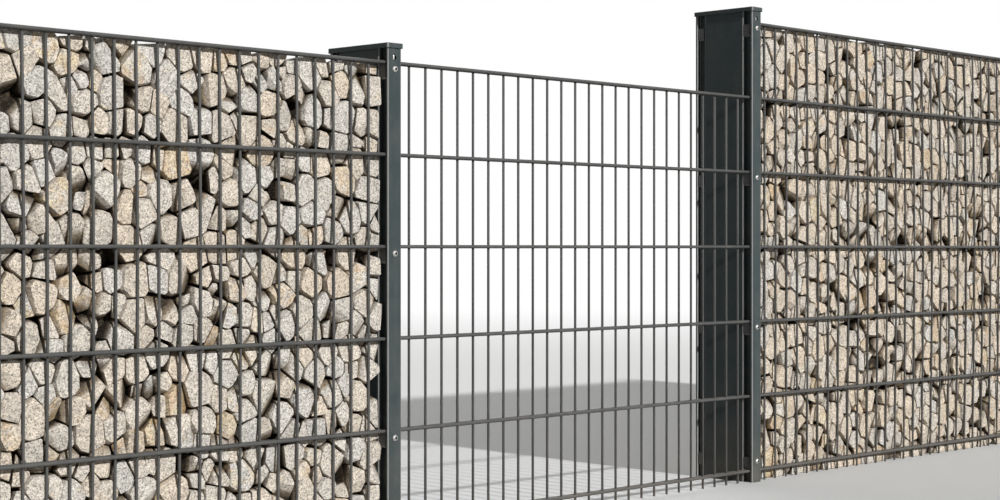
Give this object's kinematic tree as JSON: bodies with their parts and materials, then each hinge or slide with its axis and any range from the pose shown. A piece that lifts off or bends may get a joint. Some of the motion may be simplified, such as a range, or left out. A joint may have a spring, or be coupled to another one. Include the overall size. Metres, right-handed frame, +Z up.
{
  "type": "gabion wall",
  "caption": "Stone-filled mesh fence wall with slim steel posts and caps, two gabion bays of different height and an open mesh bay between them.",
  "frame": {"origin": "at ground level on the second post from the left, in the middle of the sheet of the front wall of its box, on the post's centre line", "axes": "+X along the wall towards the high bay, +Y from the wall's front face to its back, +Z up"},
  "size_m": [6.407, 0.199, 1.272],
  "materials": {
    "post_coating": "dark grey powder coat, satin, on rolled steel posts",
    "cap_coating": "dark grey powder coat, satin, on pressed caps",
    "mesh_coating": "dark grey powder coat, satin, on welded wire",
    "clamp_coating": "dark grey powder coat, matt, on clamps",
    "screw_steel": "bare stainless steel button-head screws",
    "stone": "crushed granite, rough broken faces, light grey, beige and pinkish with rusty pieces"
  },
  "bodies": {
    "root": {"back_mesh_left_a": "mesh_coating", "back_mesh_left_b": "mesh_coating", "back_mesh_right_a": "mesh_coating", "back_mesh_right_b": "mesh_coating", "front_mesh_left_a": "mesh_coating", "front_mesh_left_b": "mesh_coating", "front_mesh_middle": "mesh_coating", "front_mesh_right_a": "mesh_coating", "front_mesh_right_b": "mesh_coating", "post_1_back_rail": "post_coating", "post_1_box": "post_coating", "post_1_cap": "cap_coating", "post_1_clamps": "clamp_coating", "post_1_front_rail": "post_coating", "post_2_back_rail": "post_coating", "post_2_box": "post_coating", "post_2_cap": "cap_coating", "post_2_clamps": "clamp_coating", "post_2_front_rail": "post_coating", "post_3_back_rail": "post_coating", "post_3_box": "post_coating", "post_3_cap": "cap_coating", "post_3_clamps": "clamp_coating", "post_3_front_rail": "post_coating", "post_4_back_rail": "post_coating", "post_4_box": "post_coating", "post_4_cap": "cap_coating", "post_4_clamps": "clamp_coating", "post_4_front_rail": "post_coating", "stone_fill_left": "stone", "stone_fill_right": "stone"}
  },
  "joints": []
}
